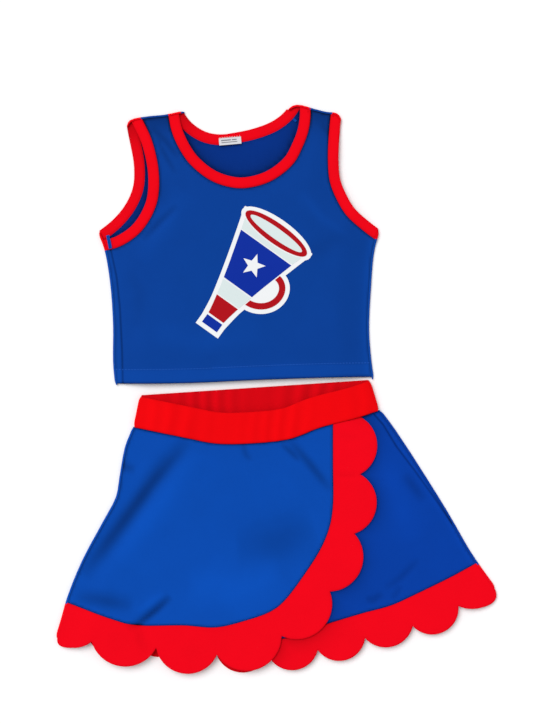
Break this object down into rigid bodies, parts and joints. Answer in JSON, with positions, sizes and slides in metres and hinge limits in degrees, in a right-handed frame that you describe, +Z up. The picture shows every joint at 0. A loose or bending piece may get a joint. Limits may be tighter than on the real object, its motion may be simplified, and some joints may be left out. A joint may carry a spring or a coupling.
{
  "type": "cheer uniform",
  "caption": "Child's sleeveless cheer top and faux-wrap skirt lying flat, royal blue with red bindings, elastic waistband and scalloped trim.",
  "frame": {"origin": "middle of the outline, on the surface that both garments lie on", "axes": "+Z up off the surface, +Y from the skirt's hem to the top's neck, +X to the viewer's right"},
  "size_m": [0.4456, 0.5686, 0.0114],
  "materials": {
    "blue_double_knit": "matte double knit",
    "skirt_blue_knit": "matte double knit",
    "red_binding_knit": "matte double knit",
    "red_waistband_knit": "matte double knit",
    "red_trim_knit": "matte double knit",
    "white_elastic": "woven elastic",
    "label_satin": "woven satin",
    "blue_thread": "spun thread",
    "white_film": "transfer film",
    "pale_film": "transfer film",
    "blue_film": "transfer film",
    "red_film": "transfer film"
  },
  "bodies": {
    "skirt": {"skirt_back_panel": "skirt_blue_knit", "skirt_under_panel": "skirt_blue_knit", "wrap_panel_fixed": "skirt_blue_knit", "skirt_seam_left": "skirt_blue_knit", "skirt_seam_right": "skirt_blue_knit", "waistband_front_inner": "red_waistband_knit", "waistband_front_outer": "red_waistband_knit", "waistband_back_inner": "red_waistband_knit", "waistband_back_outer": "red_waistband_knit", "waistband_seam_left": "red_waistband_knit", "waistband_seam_right": "red_waistband_knit", "skirt_back_trim": "red_trim_knit", "skirt_under_trim": "red_trim_knit", "wrap_trim_waist": "red_trim_knit", "wrap_trim_hem": "red_trim_knit", "waist_elastic_front": "white_elastic", "waist_elastic_back": "white_elastic"},
    "wrap_flap": {"wrap_panel_flap": "skirt_blue_knit", "wrap_trim_flap": "red_trim_knit"},
    "top": {"top_front_panel": "blue_double_knit", "top_back_panel": "blue_double_knit", "side_seam_left": "blue_double_knit", "side_seam_right": "blue_double_knit", "shoulder_seam_left": "blue_double_knit", "shoulder_seam_right": "blue_double_knit", "neck_binding_front": "red_binding_knit", "neck_binding_back": "red_binding_knit", "armhole_binding_left_front": "red_binding_knit", "armhole_binding_left_back": "red_binding_knit", "armhole_binding_right_front": "red_binding_knit", "armhole_binding_right_back": "red_binding_knit", "hem_stitch_front": "blue_thread", "hem_stitch_back": "blue_thread", "label_stitch": "blue_thread", "print_backing": "white_film", "print_cone_tip": "pale_film", "print_cone_middle": "pale_film", "print_bell_inside": "pale_film", "print_mouthpiece": "blue_film", "print_narrow_band": "blue_film", "print_wide_band": "blue_film", "print_bell_rim": "blue_film", "print_handle": "blue_film", "print_star": "red_film"},
    "neck_label": {"neck_label": "label_satin"}
  },
  "joints": [
    {"name": "top_lift", "type": "slide", "parent": "skirt", "child": "top", "axis": [0, 0, 1], "range_m": [0, 0.15]},
    {"name": "wrap_fold", "type": "hinge", "parent": "skirt", "child": "wrap_flap", "pos_m": [0.08716, -0.0322, 0.0075], "axis": [-0.44, -0.898, 0], "range_deg": [0, 150]},
    {"name": "label_flip", "type": "hinge", "parent": "top", "child": "neck_label", "pos_m": [-0.05804, 0.2506, 0.0023], "axis": [-0.996, -0.089, 0], "range_deg": [0, 140]}
  ]
}
